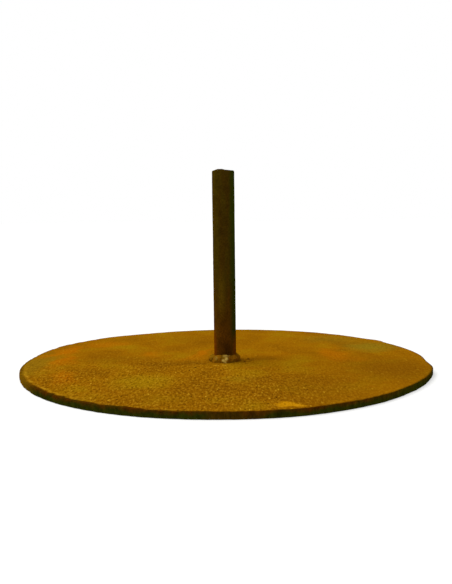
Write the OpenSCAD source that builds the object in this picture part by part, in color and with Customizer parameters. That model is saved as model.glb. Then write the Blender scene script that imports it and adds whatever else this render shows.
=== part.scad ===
// Flower frog: a round steel plate with one plain bar welded upright at its centre.
// The plate lies flat and weighs the stand down. A stem, a branch or a drilled block
// is set over the bar or tied to it.
// +Z is up. The origin is the middle of the plate's underside.

/* [Plate] */
// Radius of the plate
plate_r = 100; // [60:5:200]
// Thickness of the sheet that the plate is cut from
plate_t = 3; // [2:0.5:8]
// How strongly the hand-cut edge strays from a true circle, 0 for a true circle
edge_stray = 1; // [0:0.1:2]

/* [Post] */
// Radius of the bar
post_r = 5.4; // [4:0.2:10]
// Length of the bar above the plate, up to the side corners of its cropped end
post_len = 94; // [40:1:200]
// Height of the ridge that cropping left across the end
ridge_h = 0.7; // [0.2:0.1:1.5]
// Width of the ridge's crest
ridge_w = 1.6; // [0.8:0.1:3]
// Distance from the bar's axis to the middle of the crest
ridge_shift = 1.6; // [0:0.1:2]

/* [Weld] */
// How far the weld spreads over the plate from the bar's side
weld_leg = 3; // [1.5:0.1:5]
// How far the weld climbs the bar
weld_rise = 3.7; // [2:0.1:6]
// How deep the weld has melted into the bar
weld_bite = 0.5; // [0.2:0.1:1.5]
// Lumps that the weld was laid down in
weld_lumps = 9; // [6:1:16]
// How far a lump stands out of the weld's face
lump_out = 0.5; // [0.2:0.1:0.8]
// Direction of the first lump
lump_start = 34; // [0:1:60]

/* [Hidden] */

// Facets of round shapes
round_fn = 96;

// Where the hand-cut edge strays, one row for each place that shows:
// [direction in degrees, distance out, half-width in degrees]
edge_bumps = [
    [31, 2, 3], // burr where the cut began
    [50, 1.2, 35], // full round the back right
    [132, 2, 8], // shoulder beside the bulge
    [150, 3, 14], // bulge
    [205, -0.3, 12], // shallow flat
    [240, 0.5, 18], // full in front on the left
    [286, 0.6, 10], // full in front
    [320, -0.7, 10], // flat before the corner
    [346, 0.8, 6], // corner
    [355, -1, 6], // dent beside the corner
];
// Corners of the plate's outline
edge_points = 180;

// The bar inside the weld, where the weld has eaten into it
foot_r = post_r - weld_bite;
weld_top = plate_t + weld_rise;
post_top = plate_t + post_len;

// The sloping face of the weld, from the bar down to the plate
face_len = norm([weld_leg, weld_rise]);
face_out = [weld_rise, weld_leg] / face_len;
lump_r = 0.6 * face_len;

// Angle between two directions, from -180 to 180
function turn(a, b) = (a - b + 540) % 360 - 180;

// Distance from the plate's centre to its edge in direction a
function edge_r(a) =
    plate_r + edge_stray * sum_of([
        for (b = edge_bumps) b[1] * exp(-pow(turn(a, b[0]) / b[2], 2))
    ]);

function sum_of(list, i = 0) =
    i < len(list) ? list[i] + sum_of(list, i + 1) : 0;

// How far lump i stands out: no two passes of a hand-laid weld are alike
function lump_height(i) = lump_out * (1 + 0.35 * sin(140 * i));

// Distance from the bar's side and height of lump i's centre, behind the weld's face
function lump_centre(i) =
    [weld_leg, weld_rise] / 2 - face_out * (lump_r - lump_height(i));

module plate_outline() {
    polygon([
        for (i = [0 : edge_points - 1])
            let (a = i * 360 / edge_points)
                edge_r(a) * [cos(a), sin(a)]
    ]);
}

// Everything under the cropped end, as a slab across the bar
module under_the_crop() {
    side = 2 * post_r;
    crest_in = ridge_shift - ridge_w / 2;
    crest_out = ridge_shift + ridge_w / 2;
    rotate([90, 0, 0])
        linear_extrude(height = 2 * side, center = true)
            polygon([
                [-side, 0],
                [side, 0],
                [side, post_top],
                [post_r, post_top],
                [crest_in, post_top + 0.4 * ridge_h],
                [-crest_in, post_top + ridge_h],
                [-crest_out, post_top + ridge_h],
                [-post_r, post_top],
                [-side, post_top],
            ]);
}

// The weld's straight fillet, down the bar and out over the plate
module fillet_ring() {
    translate([0, 0, plate_t])
        rotate_extrude($fn = round_fn)
            polygon([
                [foot_r, 0],
                [post_r + weld_leg, 0],
                [post_r, weld_rise],
                [foot_r, weld_rise],
            ]);
}

module weld_lump(i) {
    c = lump_centre(i);
    rotate([0, 0, lump_start + i * 360 / weld_lumps])
        translate([post_r + c[0], 0, plate_t + c[1]])
            sphere(r = lump_r, $fn = round_fn);
}

module base_plate() {
    color("#96640e")
        linear_extrude(height = plate_t)
            plate_outline();
}

module post() {
    color("#39290a") {
        // Foot, held in the weld
        translate([0, 0, plate_t])
            cylinder(r = foot_r, h = weld_rise, $fn = round_fn);
        // Bare bar with its cropped end
        intersection() {
            translate([0, 0, weld_top])
                cylinder(r = post_r, h = post_len, $fn = round_fn);
            under_the_crop();
        }
    }
}

module weld_bead() {
    color("#5a4a28")
        difference() {
            intersection() {
                union() {
                    fillet_ring();
                    for (i = [0 : weld_lumps - 1])
                        weld_lump(i);
                }
                // Nothing under the plate's face or over the top of the weld
                translate([0, 0, plate_t])
                    cylinder(r = post_r + 2 * weld_leg, h = weld_rise, $fn = round_fn);
            }
            // Room for the bar's foot
            cylinder(r = foot_r, h = post_top, $fn = round_fn);
        }
}

base_plate();
post();
weld_bead();
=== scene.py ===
"""The finished look of a flower frog: a rusted steel plate with one bar welded upright on it.

The solid parts are loaded as a fixed frame. The plate, the bar and the weld are each modelled
again here with the pits, ragged edge and lumps of the real steel, and stand for the solids of the
same place. Lengths are in metres unless a name ends in _mm.
"""

import math

import bmesh
import bpy
import numpy as np
from bpy.props import FloatProperty, FloatVectorProperty, IntProperty, PointerProperty
from mathutils import Euler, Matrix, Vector, noise


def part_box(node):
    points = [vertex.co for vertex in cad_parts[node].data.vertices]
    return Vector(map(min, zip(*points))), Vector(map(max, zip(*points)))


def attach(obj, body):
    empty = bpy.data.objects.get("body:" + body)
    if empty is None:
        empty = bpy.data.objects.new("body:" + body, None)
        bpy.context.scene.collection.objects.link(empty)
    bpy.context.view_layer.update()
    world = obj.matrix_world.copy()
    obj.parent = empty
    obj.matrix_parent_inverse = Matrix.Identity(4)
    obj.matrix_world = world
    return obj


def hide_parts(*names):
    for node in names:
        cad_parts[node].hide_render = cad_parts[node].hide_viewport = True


bl_info = {
    "name": "Flower frog",
    "version": (1, 0, 0),
    "blender": (4, 5, 0),
    "location": "3D View > Sidebar > Flower frog",
    "description": "Builds a rusted steel flower frog with its floor, light and camera",
    "category": "Add Mesh",
}

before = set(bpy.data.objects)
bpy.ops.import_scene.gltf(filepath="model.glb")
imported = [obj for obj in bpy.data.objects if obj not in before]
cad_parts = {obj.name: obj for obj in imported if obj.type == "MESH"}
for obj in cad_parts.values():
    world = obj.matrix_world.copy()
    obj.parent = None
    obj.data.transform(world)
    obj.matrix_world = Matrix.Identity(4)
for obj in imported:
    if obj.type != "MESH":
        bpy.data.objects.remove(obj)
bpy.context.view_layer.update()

MM = 0.001
_, plate_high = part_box("base_plate")
post_low, post_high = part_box("post")
weld_low, weld_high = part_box("weld_bead")

PLATE_TOP = plate_high.z
POST_RADIUS = (post_high.x - post_low.x) / 2
WELD_RADIUS = (weld_high.x - weld_low.x) / 2

# The plate's edge is most worn and most raggedly cut at the front left
WORN_SIDE = math.radians(225)
# The edge's scale laps furthest over the face a little further round
LAPPED_SIDE = math.radians(218)
# How far in from the edge the chips, the lapping scale and the underside's scale reach
CHIP_REACH = 1.5 * MM
LAP_REACH = 4 * MM
UNDER_REACH = 3 * MM
# Width of the border between the edge's scale and the face's rust
LAP_BORDER = 1.1 * MM

# Half the width of the crest on the bar's cropped end
HALF_CREST = 0.8 * MM

# How far the weld is melted into the bar and into the plate, so that no gap shows
WELD_INTO_BAR = 0.6 * MM
WELD_INTO_PLATE = 0.15 * MM
# The weld's face turns this far over, from facing up at the bar to facing out and down at the toe
WELD_FACE_TURN = 0.75 * math.pi
# One lump faces the front, this far to the right
FRONT_LUMP = math.radians(4)

# Where the camera stands, and its tilt down, its turn and its roll in degrees
CAMERA_MM = (-1.6, -375.6, 76.4)
CAMERA_DOWN, CAMERA_TURN, CAMERA_ROLL = 5.934, -0.36, -0.67


def hex_colour(code):
    """An sRGB hex colour as linear red, green and blue."""
    values = [int(code[i : i + 2], 16) / 255 for i in (1, 3, 5)]
    return tuple(
        v / 12.92 if v <= 0.04045 else ((v + 0.055) / 1.055) ** 2.4 for v in values
    )


# ---------------------------------------------------------------- settings


class PlateSettings(bpy.types.PropertyGroup):
    """Sizes and colours of the rusted plate."""

    grid: IntProperty(
        name="Face rows",
        description="Rows of mesh faces across the plate, about one every 0.7 mm",
        default=290,
        min=40,
        max=300,
    )
    grain_height: FloatProperty(
        name="Grain height",
        description="Height of the rust grain that covers the face",
        default=0.16 * MM,
        unit="LENGTH",
        precision=5,
    )
    pit_depth: FloatProperty(
        name="Pit depth",
        description="Depth of the deepest rust pits",
        default=0.22 * MM,
        unit="LENGTH",
        precision=5,
    )
    edge_rough: FloatProperty(
        name="Edge roughness",
        description="How far the flame-cut edge wanders in and out",
        default=0.3 * MM,
        unit="LENGTH",
        precision=5,
    )
    chip_depth: FloatProperty(
        name="Chip depth",
        description="Depth of the chips along the top corner of the edge",
        default=0.5 * MM,
        unit="LENGTH",
        precision=5,
    )
    ochre: FloatVectorProperty(
        name="Ochre rust",
        description="The colour of most of the face",
        subtype="COLOR",
        default=hex_colour("#8E5B03"),
    )
    brown: FloatVectorProperty(
        name="Brown rust",
        description="Older rust, in soft patches",
        subtype="COLOR",
        default=hex_colour("#774A03"),
    )
    yellow: FloatVectorProperty(
        name="Yellow rust",
        description="Young rust, in soft patches",
        subtype="COLOR",
        default=hex_colour("#947006"),
    )
    orange: FloatVectorProperty(
        name="Orange rust",
        description="Run marks and spots where water stood",
        subtype="COLOR",
        default=hex_colour("#A65F02"),
    )
    gold: FloatVectorProperty(
        name="Gold rust",
        description="The fresh bright rust of the spot at the front edge",
        subtype="COLOR",
        default=hex_colour("#C88A06"),
    )
    olive: FloatVectorProperty(
        name="Olive film",
        description="Thin film of scale that greens the rust",
        subtype="COLOR",
        default=hex_colour("#746C16"),
    )
    # Also used for the painted shade at the weld's toe
    pit_and_shade_brown: FloatVectorProperty(
        name="Pit brown",
        description="Dark rust in the bottom of pits and around the weld",
        subtype="COLOR",
        default=hex_colour("#4A2902"),
    )
    # Also the colour of the painted highlights on the splashes and along the left edge
    crystal_and_highlight: FloatVectorProperty(
        name="Crystal",
        description="Pale crystals of rust that stand out of the face",
        subtype="COLOR",
        default=hex_colour("#B88A1C"),
    )
    scale_black: FloatVectorProperty(
        name="Scale black",
        description="Green-black oxide on the cut edge",
        subtype="COLOR",
        default=hex_colour("#2A2C04"),
    )
    edge_red: FloatVectorProperty(
        name="Edge red",
        description="Red-brown rust along the top of the cut edge",
        subtype="COLOR",
        default=hex_colour("#4A2602"),
    )
    # Paler rust with painted light on the left of the cut edge, where the light falls
    edge_dust_and_light: FloatVectorProperty(
        name="Edge dust",
        description="Dry pale rust on the left of the cut edge",
        subtype="COLOR",
        default=hex_colour("#6A4A05"),
    )


class PostSettings(bpy.types.PropertyGroup):
    """Sizes and colours of the round bar."""

    around: IntProperty(
        name="Faces around",
        description="Mesh faces around the bar",
        default=96,
        min=24,
        max=160,
    )
    rows: IntProperty(
        name="Rows",
        description="Rows of mesh faces along the bar, about one every 0.5 mm",
        default=188,
        min=20,
        max=300,
    )
    scale_height: FloatProperty(
        name="Scale height",
        description="Height of the flaking scale on the bar",
        default=0.1 * MM,
        unit="LENGTH",
        precision=5,
    )
    crest_height: FloatProperty(
        name="Crest height",
        description="Height of the ridge that cropping left across the end",
        default=0.7 * MM,
        unit="LENGTH",
        precision=5,
    )
    crest_shift: FloatProperty(
        name="Crest shift",
        description="Distance from the bar's axis to the middle of the ridge",
        default=1.6 * MM,
        unit="LENGTH",
        precision=5,
    )
    brown: FloatVectorProperty(
        name="Brown scale",
        description="The colour of most of the bar",
        subtype="COLOR",
        default=hex_colour("#402D04"),
    )
    olive: FloatVectorProperty(
        name="Olive scale",
        description="Greener scale on the upper half",
        subtype="COLOR",
        default=hex_colour("#403305"),
    )
    red: FloatVectorProperty(
        name="Red rust",
        description="Redder rust on the lower half",
        subtype="COLOR",
        default=hex_colour("#5E3804"),
    )
    # Tight scale and painted shade: the right side is darker, away from the light
    green_black_and_shade: FloatVectorProperty(
        name="Green-black scale",
        description="The dark strip of tight scale down the right side",
        subtype="COLOR",
        default=hex_colour("#242E02"),
    )
    olive_dust: FloatVectorProperty(
        name="Olive dust",
        description="A paler, dusty place in front",
        subtype="COLOR",
        default=hex_colour("#5A4808"),
    )
    # Red rust with painted light: the foot's sides are lighter than its front
    foot_red_and_light: FloatVectorProperty(
        name="Foot red",
        description="Bright red-brown rust on both sides of the bar's foot",
        subtype="COLOR",
        default=hex_colour("#6E3603"),
    )
    # Soot, and painted shade on the front of the bar just above the bead
    soot_and_shade: FloatVectorProperty(
        name="Soot",
        description="Dark stain that the weld's heat left above the bead",
        subtype="COLOR",
        default=hex_colour("#291903"),
    )


class WeldSettings(bpy.types.PropertyGroup):
    """Sizes and colours of the weld."""

    around: IntProperty(
        name="Faces around",
        description="Mesh faces around the weld",
        default=216,
        min=60,
        max=360,
    )
    lumps: IntProperty(
        name="Lumps",
        description="Lumps that the weld was laid down in",
        default=9,
        min=5,
        max=16,
    )
    lump_height: FloatProperty(
        name="Lump height",
        description="How far a lump stands out of the weld's face",
        default=0.6 * MM,
        unit="LENGTH",
        precision=5,
    )
    ripple_height: FloatProperty(
        name="Ripple height",
        description="Height of the fine ripples across each lump",
        default=0.07 * MM,
        unit="LENGTH",
        precision=5,
    )
    olive: FloatVectorProperty(
        name="Olive oxide",
        description="Thin oxide over the weld metal",
        subtype="COLOR",
        default=hex_colour("#765508"),
    )
    brown: FloatVectorProperty(
        name="Brown rust",
        description="Rust over the weld metal",
        subtype="COLOR",
        default=hex_colour("#8E5A0A"),
    )
    # Stands for painted shade in the weld's gullies and at its toe, and for rust on the spatter
    # and the creeping patches
    shade_and_rust_brown: FloatVectorProperty(
        name="Gully brown",
        description="Dark rust between the lumps, at the toe and on the spatter",
        subtype="COLOR",
        default=hex_colour("#542A02"),
    )
    # Pale weld metal that also serves as a painted highlight on the lumps in front
    bare_metal_and_highlight: FloatVectorProperty(
        name="Bare metal",
        description="Weld metal that the rust has left bare",
        subtype="COLOR",
        default=hex_colour("#D8BA5C"),
    )


class StageSettings(bpy.types.PropertyGroup):
    """The floor, the light and the camera."""

    floor_size: FloatProperty(
        name="Floor size",
        description="Width of the floor",
        default=12.0,
        unit="LENGTH",
    )
    floor_colour: FloatVectorProperty(
        name="Floor colour",
        description="Colour of the pale floor",
        subtype="COLOR",
        default=hex_colour("#B0B0AE"),
    )
    floor_glow: FloatProperty(
        name="Floor glow",
        description="Light that comes up through the floor, as on a light table",
        default=0.56,
    )
    sky_strength: FloatProperty(
        name="Room light",
        description="Even white light from all around",
        default=0.5,
    )
    key_strength: FloatProperty(
        name="Softbox light",
        description="Light from the large softbox above and behind",
        default=2.6,
    )
    key_spread: FloatProperty(
        name="Softbox spread",
        description="How wide the softbox looks from the plate",
        default=math.radians(50),
        subtype="ANGLE",
    )
    lens: FloatProperty(
        name="Focal length",
        description="Focal length of the camera in millimetres",
        default=46.8,
        subtype="DISTANCE_CAMERA",
    )


# ---------------------------------------------------------------- helpers


def add(tree, kind, inputs=None, **settings):
    """Adds a node with its properties, and gives each input its value or a link to a socket."""
    node = tree.nodes.new(kind)
    for name, value in settings.items():
        setattr(node, name, value)
    for key, value in (inputs or {}).items():
        if isinstance(value, bpy.types.NodeSocket):
            tree.links.new(value, node.inputs[key])
        else:
            node.inputs[key].default_value = value
    return node


def rgba(colour):
    """A colour with full alpha, as colour sockets take it."""
    return (*colour, 1.0)


def per_metre(size_mm):
    """Texture scale for features size_mm across on Object coordinates, which are in metres."""
    return 1000.0 / size_mm


def new_material(name):
    """An empty material with its output, a principled shader and its Object coordinates."""
    material = bpy.data.materials.new(name)
    material.use_nodes = True
    tree = material.node_tree
    tree.nodes.clear()
    shader = add(tree, "ShaderNodeBsdfPrincipled")
    add(tree, "ShaderNodeOutputMaterial", {"Surface": shader.outputs["BSDF"]})
    place = add(tree, "ShaderNodeTexCoord").outputs["Object"]
    return material, tree, shader, place


def patch_mask(tree, place, centre_mm, size_mm, turn=0.0, soft=1.0, amount=1.0):
    """A soft oval patch: 1 inside, 0 outside. Its centre and half-sizes are in millimetres."""
    local = add(
        tree,
        "ShaderNodeMapping",
        {
            "Vector": place,
            "Location": [c * MM for c in centre_mm],
            "Rotation": (0.0, 0.0, math.radians(turn)),
            "Scale": [s * MM for s in size_mm],
        },
        vector_type="TEXTURE",
    )
    ball = add(
        tree, "ShaderNodeTexGradient", {"Vector": local.outputs[0]}, gradient_type="SPHERICAL"
    )
    return add(
        tree,
        "ShaderNodeMapRange",
        {"Value": ball.outputs["Fac"], "From Max": soft, "To Max": amount},
        interpolation_type="SMOOTHSTEP",
    ).outputs[0]


def dull_surface(tree, shader, colour, roughness, relief):
    """Ends a material of rust, which is dull and no longer metallic. Relief holds the bump."""
    tree.links.new(colour, shader.inputs["Base Color"])
    shader.inputs["Metallic"].default_value = 0.0
    shader.inputs["Roughness"].default_value = roughness
    shader.inputs["Specular IOR Level"].default_value = 0.0
    bump = add(tree, "ShaderNodeBump", relief)
    tree.links.new(bump.outputs[0], shader.inputs["Normal"])


def new_piece(name, shape, material, node):
    """Makes an object of a finished shape. It rides on the root and stands for one CAD node."""
    bmesh.ops.recalc_face_normals(shape, faces=shape.faces)
    mesh = bpy.data.meshes.new(name)
    shape.to_mesh(mesh)
    shape.free()
    mesh.materials.append(material)
    piece = bpy.data.objects.new(name, mesh)
    bpy.context.scene.collection.objects.link(piece)
    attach(piece, "root")
    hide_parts(node)
    return piece


def next_row(shape, edges):
    """Extrudes an open loop of edges and gives the new loop's corners and edges."""
    made = bmesh.ops.extrude_edge_only(shape, edges=edges)["geom"]
    corners = [g for g in made if isinstance(g, bmesh.types.BMVert)]
    loop = [g for g in made if isinstance(g, bmesh.types.BMEdge) and g.is_boundary]
    return corners, loop


def rough(point, size_mm, seed=0.0):
    """Smooth noise from about -1 to 1 whose bumps are size_mm across."""
    return noise.noise(point / (size_mm * MM) + Vector((seed, 2.7 * seed, -1.3 * seed)))


# ---------------------------------------------------------------- plate


def plate_outline():
    """Directions and radii of the plate's edge, read off the corners of the CAD plate."""
    corners = {}
    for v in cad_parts["base_plate"].data.vertices:
        if v.co.xy.length > 0.8 * plate_high.x:
            corners[round(math.atan2(v.co.y, v.co.x), 5)] = v.co.xy.length
    turns = sorted(corners)
    return np.array(turns), np.array([corners[t] for t in turns])


def to_disc(u, v):
    """Turns a point of a square from -1 to 1 into a direction and a share of the radius."""
    if u == 0 and v == 0:
        return 0.0, 0.0
    if abs(u) > abs(v):
        return (math.pi / 4) * (v / u) + (math.pi if u < 0 else 0.0), abs(u)
    return math.pi / 2 - (math.pi / 4) * (u / v) + (math.pi if v < 0 else 0.0), abs(v)


def plate_shape(s):
    """The plate as one closed skin: a grained face, a ragged cut edge and a flat underside."""
    turns, radii = plate_outline()
    shape = bmesh.new()
    bmesh.ops.create_grid(shape, x_segments=s.grid, y_segments=s.grid, size=1.0)
    side = shape.verts.layers.float.new("side")
    dross_and_highlight = shape.verts.layers.float.new("dross_and_highlight")

    def chip(direction, x, y):
        """Depth of the chips along the edge's top corner. Most are on the left and in front."""
        worn = 0.15 + 0.85 * max(0.0, math.cos(direction - WORN_SIDE))
        spot = rough(Vector((x, y, 0.0)), 6, 4.0) + 0.5 * rough(Vector((x, y, 0.0)), 2.5, 9.0)
        return s.chip_depth * worn * min(1.0, max(0.0, 1.6 * spot - 0.2))

    for v in shape.verts:
        direction, share = to_disc(v.co.x, v.co.y)
        radius = float(np.interp(direction, turns, radii, period=2 * math.pi))
        cut = radius - 0.1 * MM
        r = share * cut
        x, y = r * math.cos(direction), r * math.sin(direction)
        flat = Vector((x, y, 0.0))
        # the front half is the rougher one, and the metal near the weld is smoother
        wear = 0.7 + 0.3 * max(-1.0, min(1.0, -(y + 8 * MM) / (20 * MM)))
        near_weld = min(1.0, max(0.0, (r - WELD_RADIUS) / (2 * MM)))
        grain = 0.65 * rough(flat, 1.5, 1.0) + 0.35 * rough(flat, 3.2, 2.0)
        pits = max(0.0, rough(flat, 2.3, 3.0) - 0.35)
        z = wear * near_weld * (s.grain_height * grain - s.pit_depth * pits)
        inset = cut - r
        if inset < CHIP_REACH:
            z -= chip(direction, x, y) * (1 - inset / CHIP_REACH)
        # the side's scale laps over the corner, most of all in front on the left
        front = max(0.0, -math.sin(direction))
        left = max(0.0, math.cos(direction - LAPPED_SIDE)) ** 8
        lap = (0.3 + (1.1 - 0.3 * math.cos(direction)) * front + 1.7 * left) * MM
        lap *= 0.8 + 0.5 * rough(flat, 9, 8.0) + 0.35 * rough(flat, 3, 8.5)
        lapped = min(1.0, max(0.0, (lap - inset) / LAP_BORDER + 0.5))
        v[side] = lapped if inset < LAP_REACH else 0.0
        # pale dross and a painted highlight lie in a line 1 mm inside the lap
        line = math.exp(-(((inset - lap - 1.0 * MM) / (0.7 * MM)) ** 2))
        v[dross_and_highlight] = left * (0.4 + 0.5 * rough(flat, 4, 8.8)) * line
        v.co = (x, y, PLATE_TOP + z)

    edges = [e for e in shape.edges if e.is_boundary]
    # Rows down the cut edge: share of the way down, and millimetres that the row is drawn in
    rows = [
        (0.05, 0.02), (0.16, 0.0), (0.3, 0.0), (0.45, 0.03),
        (0.6, 0.02), (0.75, 0.0), (0.9, 0.05), (1.0, 0.2),
    ]
    for down, drawn_in in rows:
        corners, edges = next_row(shape, edges)
        for v in corners:
            direction = math.atan2(v.co.y, v.co.x)
            radius = float(np.interp(direction, turns, radii, period=2 * math.pi))
            x, y = radius * math.cos(direction), radius * math.sin(direction)
            lowered = chip(direction, x, y) * max(0.0, 1 - down / 0.5)
            z = (PLATE_TOP - lowered) * (1 - down)
            at = Vector((x, y, 1.6 * z))
            # cut most raggedly on the left and in front
            ragged = 0.35 + 0.85 * max(0.0, math.cos(direction - WORN_SIDE))
            out = s.edge_rough * ragged * (0.6 * rough(at, 3.0, 5.0) + 0.4 * rough(at, 1.4, 6.0))
            # beads of slag hang along the bottom corner
            slag = 0.35 * MM * max(0.0, rough(at, 5.0, 7.0)) * max(0.0, (down - 0.5) / 0.5)
            r = radius - drawn_in * MM - lowered * 0.5 + out + slag
            v.co = (r * math.cos(direction), r * math.sin(direction), z)
            v[side] = 1.0
            v[dross_and_highlight] = 0.0
    # underneath, the edge's scale soon gives way to the same rust as on the face
    corners, edges = next_row(shape, edges)
    for v in corners:
        v.co.xy -= v.co.xy.normalized() * UNDER_REACH
        v[side] = 0.35
    underside = bmesh.ops.contextual_create(shape, geom=edges)["faces"]
    for f in shape.faces:
        f.smooth = True
    for f in underside:
        f.smooth = False
    return shape


def rusted_sheet_material(s):
    """Hot-rolled mild steel sheet, flame cut and left outdoors.

    The eye sees a dull ochre face, mottled and run with orange, grainy in front, and a cut edge of
    green-black scale that rusts through in red-brown along its top.
    """
    material, tree, shader, place = new_material("rusted_hot_rolled_sheet")

    # Water spread the rust in uneven fronts, so the patches' outlines wander by a few millimetres
    drift = add(
        tree, "ShaderNodeTexNoise", {"Vector": place, "Scale": per_metre(9), "Detail": 6.0}
    ).outputs["Color"]
    centred = add(
        tree, "ShaderNodeVectorMath", {0: drift, 1: (0.5, 0.5, 0.5)}, operation="SUBTRACT"
    ).outputs[0]
    wandered = add(
        tree,
        "ShaderNodeVectorMath",
        {0: centred, 1: (16 * MM,) * 3, 2: place},
        operation="MULTIPLY_ADD",
    ).outputs[0]

    # Soft patches of older and younger rust, 15 to 30 mm across
    cloud = add(
        tree,
        "ShaderNodeTexNoise",
        {"Vector": place, "Scale": per_metre(24), "Detail": 6.0, "Roughness": 0.62},
    ).outputs["Fac"]
    tone = add(tree, "ShaderNodeValToRGB", {"Fac": cloud})
    tone.color_ramp.elements[0].position = 0.24
    tone.color_ramp.elements[0].color = rgba(s.brown)
    tone.color_ramp.elements[1].position = 0.8
    tone.color_ramp.elements[1].color = rgba(s.yellow)
    middle = tone.color_ramp.elements.new(0.5)
    middle.color = rgba(s.ochre)
    colour = tone.outputs["Color"]

    # Stains, as (colour, centre x and y, half-sizes, turn, amount), in millimetres and degrees
    stains = [
        # the dull left edge
        (s.olive, (-94, -5), (14, 45), 0, 0.32),
        # run mark down the left side
        (s.orange, (-84, 34), (9, 22), -6, 0.75),
        (s.orange, (-90, 22), (6, 17), -29, 0.7),
        (s.orange, (-82, 4), (8, 24), 2, 0.75),
        (s.orange, (-75, -34), (8, 22), 14, 0.7),
        # spots at the back left
        (s.orange, (-66, 50), (17, 15), 20, 0.5),
        (s.orange, (-39, 18), (9, 10), 0, 0.55),
        # run marks on both sides of the bar
        (s.orange, (-11, 21), (5, 18), -20, 0.75),
        (s.orange, (-16, 6), (9, 10), -20, 0.4),
        (s.orange, (56, 11), (10, 26), 4, 0.6),
        (s.orange, (67, -3), (7, 9), 0, 0.35),
        (s.orange, (26, 15), (12, 12), 0, 0.2),
        # old scale at the back right
        (s.olive, (79, 33), (22, 22), 0, 0.5),
        (s.olive, (62, 58), (24, 20), 0, 0.25),
        (s.olive, (0, 98), (90, 8), 0, 0.3),
        # young yellow rust in front
        (s.yellow, (-37, -47), (20, 24), 0, 0.8),
        (s.yellow, (-25, -78), (16, 14), 0, 0.3),
        (s.yellow, (12, -32), (12, 14), 0, 0.4),
        (s.olive, (7, -44), (12, 11), 0, 0.15),
        (s.gold, (24, -90), (8, 4), -20, 0.9),
        (s.gold, (25, -90), (6, 2.5), -20, 1.0),
        # browner ground
        (s.brown, (78, -26), (34, 44), 0, 0.8),
        (s.brown, (36, -56), (40, 34), 0, 0.6),
        (s.brown, (-61, -25), (17, 15), 0, 0.15),
        (s.brown, (-3, -60), (18, 16), 0, 0.45),
        (s.brown, (0, -80), (100, 32), 0, 0.34),
        (s.brown, (-10, 60), (34, 30), 0, 0.35),
        (s.brown, (-55, 5), (30, 16), 0, 0.5),
        (s.brown, (72, 14), (9, 9), 0, 0.4),
        # a darker brown band across the weld, from left to right
        (s.brown, (-28, -7), (26, 9), 0, 0.7),
        (s.pit_and_shade_brown, (-17, -8), (16, 5), 0, 0.2),
        (s.pit_and_shade_brown, (12, -2), (8, 7), 0, 0.1),
        (s.brown, (22, 2), (12, 8), 0, 0.6),
    ]
    for stain, centre, size, turn, amount in stains:
        mask = patch_mask(tree, wandered, (*centre, 0), (*size, 40), turn, 0.8, amount)
        colour = add(
            tree, "ShaderNodeMix", {0: mask, 6: colour, 7: rgba(stain)}, data_type="RGBA"
        ).outputs[2]

    # A thin ring of brown rust and painted shade at the weld's toe
    toe = patch_mask(tree, place, (-0.3, -0.6, 3), (10.6, 11.2, 40), 0, 0.25, 0.2)
    colour = add(
        tree, "ShaderNodeMix", {0: toe, 6: colour, 7: rgba(s.pit_and_shade_brown)}, data_type="RGBA"
    ).outputs[2]

    # Splashes of pale weld metal with a painted highlight, lying flat on the plate in front of the
    # bead
    for centre, size in (((-0.5, -13.4), (1.4, 2.4)), ((-4.5, -13.2), (2.2, 1.8))):
        splash_highlight = patch_mask(tree, place, (*centre, 3), (*size, 40), 0, 0.6, 0.5)
        colour = add(
            tree, "ShaderNodeMix", {0: splash_highlight, 6: colour, 7: rgba(s.crystal_and_highlight)}, data_type="RGBA"
        ).outputs[2]

    # Rust grain: crystals and pits 0.5 mm wide, drawn out by the rolling to three times that
    rolled = add(
        tree, "ShaderNodeMapping", {"Vector": place, "Scale": (1.0, 0.35, 1.0)}
    ).outputs[0]
    grain = add(
        tree,
        "ShaderNodeTexNoise",
        {"Vector": rolled, "Scale": per_metre(0.95), "Detail": 3.0, "Roughness": 0.65},
    ).outputs["Fac"]
    # the front half is the rougher one, and the middle of it most of all
    front = patch_mask(tree, wandered, (-42, -62, 0), (115, 80, 60), 0, 0.55, 1.0)
    coarse = add(
        tree, "ShaderNodeMapRange", {"Value": front, "To Min": 0.35, "To Max": 1.0}
    ).outputs[0]
    pits = add(
        tree,
        "ShaderNodeMapRange",
        {"Value": grain, "From Min": 0.34, "From Max": 0.5, "To Min": 0.6, "To Max": 0.0},
    ).outputs[0]
    pitted = add(tree, "ShaderNodeMath", {0: pits, 1: coarse}, operation="MULTIPLY").outputs[0]
    colour = add(
        tree, "ShaderNodeMix", {0: pitted, 6: colour, 7: rgba(s.pit_and_shade_brown)}, data_type="RGBA"
    ).outputs[2]
    crystals = add(
        tree,
        "ShaderNodeMapRange",
        {"Value": grain, "From Min": 0.52, "From Max": 0.68, "To Max": 0.52},
    ).outputs[0]
    bright = add(tree, "ShaderNodeMath", {0: crystals, 1: coarse}, operation="MULTIPLY").outputs[0]
    colour = add(
        tree, "ShaderNodeMix", {0: bright, 6: colour, 7: rgba(s.crystal_and_highlight)}, data_type="RGBA"
    ).outputs[2]

    # Here and there a deeper pit or a larger crystal, 1 mm across
    sparse = add(
        tree,
        "ShaderNodeTexNoise",
        {"Vector": rolled, "Scale": per_metre(1.5), "Detail": 1.0},
    ).outputs["Fac"]
    for paint, low, high in ((s.pit_and_shade_brown, 0.32, 0.24), (s.crystal_and_highlight, 0.68, 0.76)):
        fleck = add(
            tree, "ShaderNodeMapRange", {"Value": sparse, "From Min": low, "From Max": high}
        ).outputs[0]
        fleck = add(tree, "ShaderNodeMath", {0: fleck, 1: coarse}, operation="MULTIPLY").outputs[0]
        colour = add(
            tree, "ShaderNodeMix", {0: fleck, 6: colour, 7: rgba(paint)}, data_type="RGBA"
        ).outputs[2]

    # Pale dross and a painted highlight beside the chipped corner on the left
    dross_and_highlight = add(tree, "ShaderNodeAttribute", attribute_name="dross_and_highlight").outputs["Fac"]
    colour = add(
        tree, "ShaderNodeMix", {0: dross_and_highlight, 6: colour, 7: rgba(s.crystal_and_highlight)}, data_type="RGBA"
    ).outputs[2]

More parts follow.
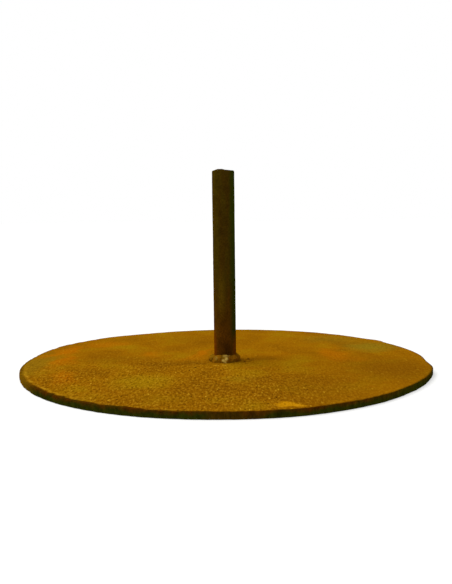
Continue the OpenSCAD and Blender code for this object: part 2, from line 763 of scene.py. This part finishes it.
    # The cut edge: red-brown along the top corner, green-black scale below, in uneven lengths
    side = add(tree, "ShaderNodeAttribute", attribute_name="side").outputs["Fac"]
    level = add(tree, "ShaderNodeSeparateXYZ", {"Vector": place}).outputs["Z"]
    lengths = add(
        tree,
        "ShaderNodeTexNoise",
        {"Vector": place, "Scale": per_metre(8), "Detail": 5.0, "Roughness": 0.65},
    ).outputs["Fac"]
    climbed = add(
        tree,
        "ShaderNodeMath",
        {0: lengths, 1: 6 * MM, 2: level},
        operation="MULTIPLY_ADD",
    ).outputs[0]
    red = add(
        tree,
        "ShaderNodeMapRange",
        {"Value": climbed, "From Min": 4.3 * MM, "From Max": 6.3 * MM},
    ).outputs[0]
    edge = add(
        tree,
        "ShaderNodeMix",
        {0: red, 6: rgba(s.scale_black), 7: rgba(s.edge_red)},
        data_type="RGBA",
    ).outputs[2]
    rusted = patch_mask(tree, wandered, (3, -100, 0), (16, 12, 40), 0, 0.6, 0.5)
    edge = add(
        tree, "ShaderNodeMix", {0: rusted, 6: edge, 7: rgba(s.edge_red)}, data_type="RGBA"
    ).outputs[2]
    tight = patch_mask(tree, wandered, (85, -55, 0), (50, 60, 40), 0, 0.6, 0.6)
    edge = add(
        tree, "ShaderNodeMix", {0: tight, 6: edge, 7: rgba(s.scale_black)}, data_type="RGBA"
    ).outputs[2]
    # painted light and pale dry rust: the cut edge is paler on the left, the side the light comes
    # from
    dusty_and_lit = patch_mask(tree, wandered, (-96, -30, 0), (26, 40, 40), 0, 0.8, 1.0)
    edge = add(
        tree, "ShaderNodeMix", {0: dusty_and_lit, 6: edge, 7: rgba(s.edge_dust_and_light)}, data_type="RGBA"
    ).outputs[2]
    # drag lines of the cutting flame, 1.5 mm apart, run down the edge and hold more or less dirt
    upright = add(
        tree, "ShaderNodeMapping", {"Vector": place, "Scale": (1.0, 1.0, 0.5)}
    ).outputs[0]
    drag = add(
        tree,
        "ShaderNodeTexNoise",
        {"Vector": upright, "Scale": per_metre(1.8), "Detail": 3.0, "Roughness": 0.7},
    ).outputs["Fac"]
    dirt = add(
        tree,
        "ShaderNodeMapRange",
        {"Value": drag, "From Min": 0.3, "From Max": 0.7, "To Min": 0.55, "To Max": 1.4},
    ).outputs[0]
    edge = add(
        tree, "ShaderNodeMix", {0: 1.0, 6: edge, 7: dirt}, data_type="RGBA", blend_type="MULTIPLY"
    ).outputs[2]
    colour = add(
        tree, "ShaderNodeMix", {0: side, 6: colour, 7: edge}, data_type="RGBA"
    ).outputs[2]

    relief = {"Height": grain, "Strength": coarse, "Distance": 0.5 * MM}
    dull_surface(tree, shader, colour, 0.9, relief)
    return material


class FROG_OT_make_plate(bpy.types.Operator):
    """Makes the rusted plate with its grained face and ragged cut edge"""

    bl_idname = "frog.make_plate"
    bl_label = "Make plate"

    def execute(self, context):
        s = context.scene.frog_plate
        new_piece("plate", plate_shape(s), rusted_sheet_material(s), "base_plate")
        return {"FINISHED"}


# ---------------------------------------------------------------- post


def post_shape(s):
    """The round bar, wavy and scaled, with the ridge of a cropped end."""
    foot = PLATE_TOP
    corner = post_high.z - s.crest_height

    def end_height(x, y):
        """Height of the cropped end, which climbs to a ridge left of the axis."""
        crest = -s.crest_shift
        reach = [-POST_RADIUS, crest - HALF_CREST, crest + HALF_CREST, HALF_CREST, POST_RADIUS]
        lift = [0.0, 1.0, 1.0, 0.4, 0.0]
        torn = 0.1 * MM * rough(Vector((x, y, 0.0)), 1.6, 11.0)
        return corner + s.crest_height * float(np.interp(x, reach, lift)) + torn - 0.05 * MM

    shape = bmesh.new()
    start = bmesh.ops.create_circle(shape, segments=s.around, radius=POST_RADIUS)["verts"]
    bmesh.ops.translate(shape, verts=start, vec=(0, 0, foot))
    edges = list(shape.edges)
    for row in range(1, s.rows + 1):
        corners, edges = next_row(shape, edges)
        for v in corners:
            v.co.z = foot + (end_height(v.co.x, v.co.y) - foot) * row / s.rows
    # the end face closes in rings towards the axis
    for share in (0.93, 0.8, 0.64, 0.48, 0.32, 0.16):
        corners, edges = next_row(shape, edges)
        for v in corners:
            v.co.xy = v.co.xy.normalized() * POST_RADIUS * share
            v.co.z = end_height(v.co.x, v.co.y)
    bmesh.ops.contextual_create(shape, geom=edges)
    bmesh.ops.contextual_create(shape, geom=[e for e in shape.edges if e.is_boundary])
    for v in shape.verts:
        level = v.co.z
        if v.co.xy.length > 0.97 * POST_RADIUS:
            out = Vector((v.co.x, v.co.y, 0.0)).normalized()
            wave = 0.5 * rough(v.co, 14, 12.0) + 0.3 * rough(v.co, 4, 13.0)
            wave += 0.35 * rough(v.co, 1.3, 14.0)
            lip = 0.12 * MM * math.exp(-(((end_height(v.co.x, v.co.y) - level) / (0.5 * MM)) ** 2))
            v.co += out * (s.scale_height * (wave + 0.8) - lip)
    for f in shape.faces:
        f.smooth = True
    return shape


def scaled_bar_material(s):
    """Hot-rolled round bar with its mill scale on, rusting from the foot up.

    The eye sees a near-black olive brown, redder towards the weld, with a tight green-black strip
    of scale and painted shade down the right side, soot and painted shade in front above the bead,
    and red rust and painted light on both sides of the foot.
    """
    material, tree, shader, place = new_material("scaled_hot_rolled_bar")

    split = add(tree, "ShaderNodeSeparateXYZ", {"Vector": place})
    # Streaks left by rolling: 2 mm wide, 20 mm long
    streaked = add(
        tree,
        "ShaderNodeMapping",
        {"Vector": place, "Scale": (1.0, 1.0, 0.1)},
    ).outputs[0]
    streaks = add(
        tree,
        "ShaderNodeTexNoise",
        {"Vector": streaked, "Scale": per_metre(2.5), "Detail": 3.0},
    ).outputs["Fac"]
    blotches = add(
        tree,
        "ShaderNodeTexNoise",
        {"Vector": place, "Scale": per_metre(9), "Detail": 5.0, "Roughness": 0.65},
    ).outputs["Fac"]

    # Redder rust on the lower half, in uneven patches
    height = add(
        tree,
        "ShaderNodeMath",
        {0: blotches, 1: 30 * MM, 2: split.outputs["Z"]},
        operation="MULTIPLY_ADD",
    ).outputs[0]
    up = add(
        tree,
        "ShaderNodeMapRange",
        {"Value": height, "From Min": 20 * MM, "From Max": 75 * MM},
        interpolation_type="SMOOTHSTEP",
    ).outputs[0]
    colour = add(
        tree, "ShaderNodeMix", {0: up, 6: rgba(s.red), 7: rgba(s.brown)}, data_type="RGBA"
    ).outputs[2]
    greener = add(
        tree,
        "ShaderNodeMapRange",
        {"Value": streaks, "From Min": 0.42, "From Max": 0.6, "To Max": 0.8},
    ).outputs[0]
    greened = add(tree, "ShaderNodeMath", {0: greener, 1: up}, operation="MULTIPLY").outputs[0]
    colour = add(
        tree, "ShaderNodeMix", {0: greened, 6: colour, 7: rgba(s.olive)}, data_type="RGBA"
    ).outputs[2]
    dark = add(
        tree,
        "ShaderNodeMapRange",
        {"Value": blotches, "From Min": 0.35, "From Max": 0.55, "To Min": 0.5, "To Max": 0.0},
    ).outputs[0]
    colour = add(
        tree, "ShaderNodeMix", {0: dark, 6: colour, 7: rgba(s.soot_and_shade)}, data_type="RGBA"
    ).outputs[2]

    # The strip of tight scale and painted shade down the right side, the side away from the light,
    # with a wavering border
    wavering = add(
        tree,
        "ShaderNodeMath",
        {0: blotches, 1: 4 * MM, 2: split.outputs["X"]},
        operation="MULTIPLY_ADD",
    ).outputs[0]
    strip = add(
        tree,
        "ShaderNodeMapRange",
        {"Value": wavering, "From Min": 3.8 * MM, "From Max": 6.4 * MM, "To Max": 0.9},
        interpolation_type="SMOOTHSTEP",
    ).outputs[0]
    colour = add(
        tree, "ShaderNodeMix", {0: strip, 6: colour, 7: rgba(s.green_black_and_shade)}, data_type="RGBA"
    ).outputs[2]

    # Patches, as (colour, centre, half-sizes, amount), in millimetres: bright rust and painted
    # light on both sides of the foot, where the sides are lighter than the front, soot and painted
    # shade in front just above the bead, and a dusty place higher up
    patches = [
        (s.red, (4.2, -4, 6), (3.4, 4, 14), 0.8),
        (s.foot_red_and_light, (-5.4, -2, 9), (2.1, 6, 16), 0.75),
        (s.foot_red_and_light, (5.4, -2, 8), (2.4, 6, 12), 0.7),
        (s.foot_red_and_light, (0, 4, 8), (8, 4, 16), 0.6),
        # painted shade and soot: the front of the foot is darker than its sides
        (s.soot_and_shade, (1.2, -5, 8.4), (4.2, 4, 5.5), 0.5),
        (s.olive_dust, (-1.5, -5, 36), (2.6, 4, 16), 0.5),
    ]
    for paint, centre, size, amount in patches:
        mask = patch_mask(tree, place, centre, size, 0, 0.8, amount)
        colour = add(
            tree, "ShaderNodeMix", {0: mask, 6: colour, 7: rgba(paint)}, data_type="RGBA"
        ).outputs[2]

    grain = add(
        tree,
        "ShaderNodeTexNoise",
        {"Vector": place, "Scale": per_metre(0.9), "Detail": 3.0, "Roughness": 0.6},
    ).outputs["Fac"]
    speck = add(
        tree,
        "ShaderNodeMapRange",
        {"Value": grain, "From Min": 0.3, "From Max": 0.7, "To Min": 0.8, "To Max": 1.32},
    ).outputs[0]
    colour = add(
        tree,
        "ShaderNodeMix",
        {0: 1.0, 6: colour, 7: speck},
        data_type="RGBA",
        blend_type="MULTIPLY",
    ).outputs[2]

    relief = {"Height": grain, "Strength": 0.4, "Distance": 0.2 * MM}
    dull_surface(tree, shader, colour, 0.75, relief)
    return material


class FROG_OT_make_post(bpy.types.Operator):
    """Makes the round bar with its mill scale and cropped end"""

    bl_idname = "frog.make_post"
    bl_label = "Make bar"

    def execute(self, context):
        s = context.scene.frog_post
        new_piece("bar", post_shape(s), scaled_bar_material(s), "post")
        return {"FINISHED"}


# ---------------------------------------------------------------- weld


def weld_shape(s):
    """The weld as one closed ring of lumps with fine ripples, and the spatter around it."""
    leg = WELD_RADIUS - POST_RADIUS
    rise = weld_high.z - PLATE_TOP
    inner = POST_RADIUS - WELD_INTO_BAR
    belly = 0.3 * rise
    shape = bmesh.new()
    # The gully value is painted shade between the lumps and towards the toe, and rust on the
    # spatter
    gully_shade_and_rust = shape.verts.layers.float.new("gully_shade_and_rust")
    # Section of the ring in the XZ plane: up the inside, over the swell, and in again to the toe
    section = [(inner, -WELD_INTO_PLATE), (inner, rise - 0.3 * MM)]
    swell_steps, toe_steps = 16, 7
    for i in range(swell_steps + 1):
        t = 0.5 * math.pi * i / swell_steps
        across, up = math.sin(t) ** 0.85, math.cos(t) ** 0.85
        section.append((POST_RADIUS - 0.1 * MM + leg * across, belly + (rise - belly) * up))
    for i in range(1, toe_steps + 1):
        u = i / toe_steps
        section.append((POST_RADIUS - 0.1 * MM + leg * (1 - 0.12 * u * u), belly * (1 - u)))
    section.append((section[-1][0] - 0.1 * MM, -WELD_INTO_PLATE))
    corners = [shape.verts.new((x, 0, PLATE_TOP + z)) for x, z in section]
    edges = [shape.edges.new((a, b)) for a, b in zip(corners, corners[1:] + corners[:1])]
    bmesh.ops.spin(
        shape,
        geom=corners + edges,
        cent=(0, 0, 0),
        axis=(0, 0, 1),
        angle=2 * math.pi,
        steps=s.around,
        use_merge=True,
    )
    bmesh.ops.remove_doubles(shape, verts=shape.verts, dist=0.001 * MM)

    for v in shape.verts:
        height = v.co.z - PLATE_TOP
        reach = v.co.xy.length - POST_RADIUS
        if height < -0.1 * MM or reach < -0.3 * MM:
            continue
        turn = math.atan2(v.co.y, v.co.x)
        # how far round the swell, from 0 at the bar to 1 at the toe
        over = math.atan2(max(0.0, reach) / leg, (height - belly) / (rise - belly))
        swell = min(1.0, max(0.0, over / WELD_FACE_TURN))
        out = Vector((v.co.x, v.co.y, 0.0)).normalized()
        # in front and behind the bead is a plain slope, and on both sides it is low and round
        slope = 0.6 * abs(math.sin(turn)) ** 1.5 * min(1.0, 4 * swell)
        down = min(1.0, swell / 0.9)
        plain = out * (POST_RADIUS + leg * down) + Vector((0, 0, PLATE_TOP + rise * (1 - down)))
        v.co = v.co.lerp(plain, slope)
        low = (0.2 - 0.08 * math.cos(turn)) * abs(math.cos(turn)) ** 1.5
        v.co.z -= low * (v.co.z - PLATE_TOP)
        reach = v.co.xy.length - POST_RADIUS
        place = (turn + math.radians(90) - FRONT_LUMP) * s.lumps / (2 * math.pi) + 0.5
        place += 0.35 * noise.noise(Vector((math.cos(turn), math.sin(turn), 3.0)) * 2.3)
        number, along = math.floor(place) % s.lumps, (place % 1.0) - 0.5
        bulge = math.sqrt(max(0.0, 1 - (2 * along) ** 2 * 0.95))
        size = 1 + 0.35 * noise.noise(Vector((number * 1.7, 0.3, 5.0)))
        profile = math.sin(math.pi * (0.12 + 0.78 * swell)) ** 0.7
        ripple = math.cos(2 * math.pi * (along * 4.5 + 1.4 * swell * swell))
        lift = s.lump_height * size * (1.3 * bulge - 1.15) * profile
        lift += s.ripple_height * ripple * profile
        lift += 0.25 * MM * rough(v.co, 1.1, 21.0) + 0.35 * MM * rough(v.co, 2.4, 22.0)
        tilt = WELD_FACE_TURN * swell
        v.co += (out * math.sin(tilt) + Vector((0, 0, math.cos(tilt)))) * lift
        # the bead was laid narrower on the right
        v.co -= out * 0.36 * max(0.0, math.cos(turn)) * max(0.0, reach)
        v.co.z = min(v.co.z, weld_high.z + 0.1 * MM)
        # painted shade: darker between the lumps and towards the toe
        v[gully_shade_and_rust] = min(1.0, 0.8 * (1 - bulge) ** 1.2 + 0.2 * max(0.0, swell - 0.75) / 0.25)

    # Spatter, as (x, y, radius, how rusty) in millimetres, half sunk in the plate
    spatter = [
        (11.6, 1.6, 0.75, 1.0),
        (9.6, -4.8, 0.7, 1.0),
        (12.9, -1.4, 0.4, 0.7),
        (-14.6, -18.0, 0.6, 0.7),
        (5.2, 13.8, 0.4, 0.7),
    ]
    for x, y, radius, rusty in spatter:
        bead = bmesh.ops.create_icosphere(shape, subdivisions=2, radius=radius * MM)["verts"]
        bmesh.ops.scale(shape, verts=bead, vec=(1.0, 1.2, 0.5))
        bmesh.ops.translate(shape, verts=bead, vec=(x * MM, y * MM, PLATE_TOP + 0.1 * MM))
        for v in bead:
            v[gully_shade_and_rust] = rusty
    for f in shape.faces:
        f.smooth = True
    return shape


def weld_material(s):
    """Stick-laid weld metal under thin rust.

    The eye sees small lumps, olive and brown, with painted shade darkening the gullies between
    them and the toe, and pale metal under a painted highlight on the high spots in front.
    """
    material, tree, shader, place = new_material("rusted_weld_metal")
    cloud = add(
        tree,
        "ShaderNodeTexNoise",
        {"Vector": place, "Scale": per_metre(2.6), "Detail": 5.0, "Roughness": 0.65},
    ).outputs["Fac"]
    rusty = add(
        tree,
        "ShaderNodeMapRange",
        {"Value": cloud, "From Min": 0.42, "From Max": 0.62},
    ).outputs[0]
    colour = add(
        tree, "ShaderNodeMix", {0: rusty, 6: rgba(s.olive), 7: rgba(s.brown)}, data_type="RGBA"
    ).outputs[2]
    right = patch_mask(tree, place, (6.5, -3.5, 5), (4.5, 5.5, 5), 0, 0.8, 0.85)
    colour = add(
        tree, "ShaderNodeMix", {0: right, 6: colour, 7: rgba(s.brown)}, data_type="RGBA"
    ).outputs[2]
    # pale weld metal and a painted highlight on the high spots in front, as (centre, half-sizes,
    # amount) in millimetres
    rubbed_and_highlight = [
        ((0.6, -7.8, 4.9), (1.3, 4, 1.0), 0.8),
        ((-1.0, -8.2, 4.3), (1.1, 4, 0.9), 0.65),
        ((-0.1, -8.8, 3.5), (1.0, 4, 0.8), 0.5),
        ((0.4, -6.4, 6.2), (2.4, 3, 0.8), 0.4),
        ((-4.6, -6.4, 5.2), (1.3, 3, 1.1), 0.12),
    ]
    for centre, size, amount in rubbed_and_highlight:
        mask = patch_mask(tree, place, centre, size, 0, 0.7, amount)
        colour = add(
            tree, "ShaderNodeMix", {0: mask, 6: colour, 7: rgba(s.bare_metal_and_highlight)}, data_type="RGBA"
        ).outputs[2]
    # red rust creeps up from the toe in front on the right, as (centre, half-sizes)
    creeping = [((2.7, -8.4, 3.6), (1.8, 2.4, 1.5)), ((6.6, -5.4, 3.8), (2.2, 2.6, 1.4))]
    for centre, size in creeping:
        mask = patch_mask(tree, place, centre, size, 0, 0.6, 0.55)
        colour = add(
            tree, "ShaderNodeMix", {0: mask, 6: colour, 7: rgba(s.shade_and_rust_brown)}, data_type="RGBA"
        ).outputs[2]
    # painted shade and rust: darker brown between the lumps and towards the toe, where shade falls
    # in the gullies; on the spatter the same value is its rust
    gully_shade_and_rust = add(tree, "ShaderNodeAttribute", attribute_name="gully_shade_and_rust").outputs["Fac"]
    dirt = add(tree, "ShaderNodeMath", {0: gully_shade_and_rust, 1: 0.6}, operation="MULTIPLY").outputs[0]
    colour = add(
        tree, "ShaderNodeMix", {0: dirt, 6: colour, 7: rgba(s.shade_and_rust_brown)}, data_type="RGBA"
    ).outputs[2]
    fine = add(
        tree,
        "ShaderNodeTexNoise",
        {"Vector": place, "Scale": per_metre(0.7), "Detail": 3.0, "Roughness": 0.6},
    ).outputs["Fac"]
    relief = {"Height": fine, "Strength": 0.6, "Distance": 0.25 * MM}
    dull_surface(tree, shader, colour, 0.6, relief)
    return material


class FROG_OT_make_weld(bpy.types.Operator):
    """Makes the lumpy weld around the bar's foot"""

    bl_idname = "frog.make_weld"
    bl_label = "Make weld"

    def execute(self, context):
        s = context.scene.frog_weld
        new_piece("weld", weld_shape(s), weld_material(s), "weld_bead")
        return {"FINISHED"}


# ---------------------------------------------------------------- stage


class FROG_OT_make_stage(bpy.types.Operator):
    """Makes the camera, the soft light and the pale floor"""

    bl_idname = "frog.make_stage"
    bl_label = "Make stage"

    def execute(self, context):
        s = context.scene.frog_stage
        scene = context.scene

        camera = bpy.data.objects.new("camera", bpy.data.cameras.new("camera"))
        scene.collection.objects.link(camera)
        camera.data.lens = s.lens
        camera.data.clip_end = 30
        camera.location = Vector(CAMERA_MM) * MM
        look = Euler((math.radians(90 - CAMERA_DOWN), 0.0, math.radians(CAMERA_TURN))).to_matrix()
        roll = Euler((0.0, 0.0, math.radians(CAMERA_ROLL))).to_matrix()
        camera.rotation_euler = (look @ roll).to_euler()
        scene.camera = camera

        floor_shape = bmesh.new()
        bmesh.ops.create_grid(floor_shape, x_segments=1, y_segments=1, size=s.floor_size / 2)
        mesh = bpy.data.meshes.new("floor")
        floor_shape.to_mesh(mesh)
        floor_shape.free()
        floor = bpy.data.objects.new("floor", mesh)
        scene.collection.objects.link(floor)
        # just clear of the plate's underside
        floor.location.z = -0.02 * MM
        paper = bpy.data.materials.new("white_paper")
        paper.use_nodes = True
        shader = paper.node_tree.nodes["Principled BSDF"]
        shader.inputs["Base Color"].default_value = rgba(s.floor_colour)
        shader.inputs["Roughness"].default_value = 1.0
        shader.inputs["Specular IOR Level"].default_value = 0.0
        shader.inputs["Emission Color"].default_value = (1.0, 1.0, 1.0, 1.0)
        shader.inputs["Emission Strength"].default_value = s.floor_glow
        mesh.materials.append(paper)

        key = bpy.data.objects.new("softbox", bpy.data.lights.new("softbox", "SUN"))
        key.data.energy = s.key_strength
        key.data.angle = s.key_spread
        # from the back left, high up
        key.rotation_euler = Vector((-0.55, 0.2, 1.0)).to_track_quat("Z", "Y").to_euler()
        scene.collection.objects.link(key)

        world = bpy.data.worlds.new("white_room")
        world.use_nodes = True
        tree = world.node_tree
        tree.nodes.clear()
        # the room lights softly, and the backdrop itself is seen fully lit
        seen = add(tree, "ShaderNodeLightPath").outputs["Is Camera Ray"]
        strength = add(
            tree, "ShaderNodeMapRange", {"Value": seen, "To Min": s.sky_strength, "To Max": 1.0}
        )
        light = add(
            tree,
            "ShaderNodeBackground",
            {"Color": (1.0, 1.0, 1.0, 1.0), "Strength": strength.outputs[0]},
        )
        add(tree, "ShaderNodeOutputWorld", {"Surface": light.outputs[0]})
        scene.world = world
        scene.view_settings.view_transform = "Standard"
        return {"FINISHED"}


class FROG_PT_panel(bpy.types.Panel):
    """Lists the steps that build the flower frog"""

    bl_idname = "FROG_PT_panel"
    bl_label = "Flower frog"
    bl_space_type = "VIEW_3D"
    bl_region_type = "UI"
    bl_category = "Flower frog"

    def draw(self, context):
        for group, step in STEPS:
            box = self.layout.box()
            settings = getattr(context.scene, group)
            for name in settings.bl_rna.properties.keys():
                if name not in ("rna_type", "name"):
                    box.prop(settings, name)
            box.operator(step)


STEPS = (
    ("frog_stage", "frog.make_stage"),
    ("frog_plate", "frog.make_plate"),
    ("frog_post", "frog.make_post"),
    ("frog_weld", "frog.make_weld"),
)

GROUPS = {
    "frog_stage": StageSettings,
    "frog_plate": PlateSettings,
    "frog_post": PostSettings,
    "frog_weld": WeldSettings,
}

CLASSES = (
    *GROUPS.values(),
    FROG_OT_make_stage,
    FROG_OT_make_plate,
    FROG_OT_make_post,
    FROG_OT_make_weld,
    FROG_PT_panel,
)


def register():
    for c in CLASSES:
        bpy.utils.register_class(c)
    for name, group in GROUPS.items():
        setattr(bpy.types.Scene, name, PointerProperty(type=group))


def unregister():
    for name in GROUPS:
        delattr(bpy.types.Scene, name)
    for c in reversed(CLASSES):
        bpy.utils.unregister_class(c)


def main():
    register()
    bpy.ops.frog.make_stage()
    bpy.ops.frog.make_plate()
    bpy.ops.frog.make_post()
    bpy.ops.frog.make_weld()


if __name__ == "__main__":
    main()
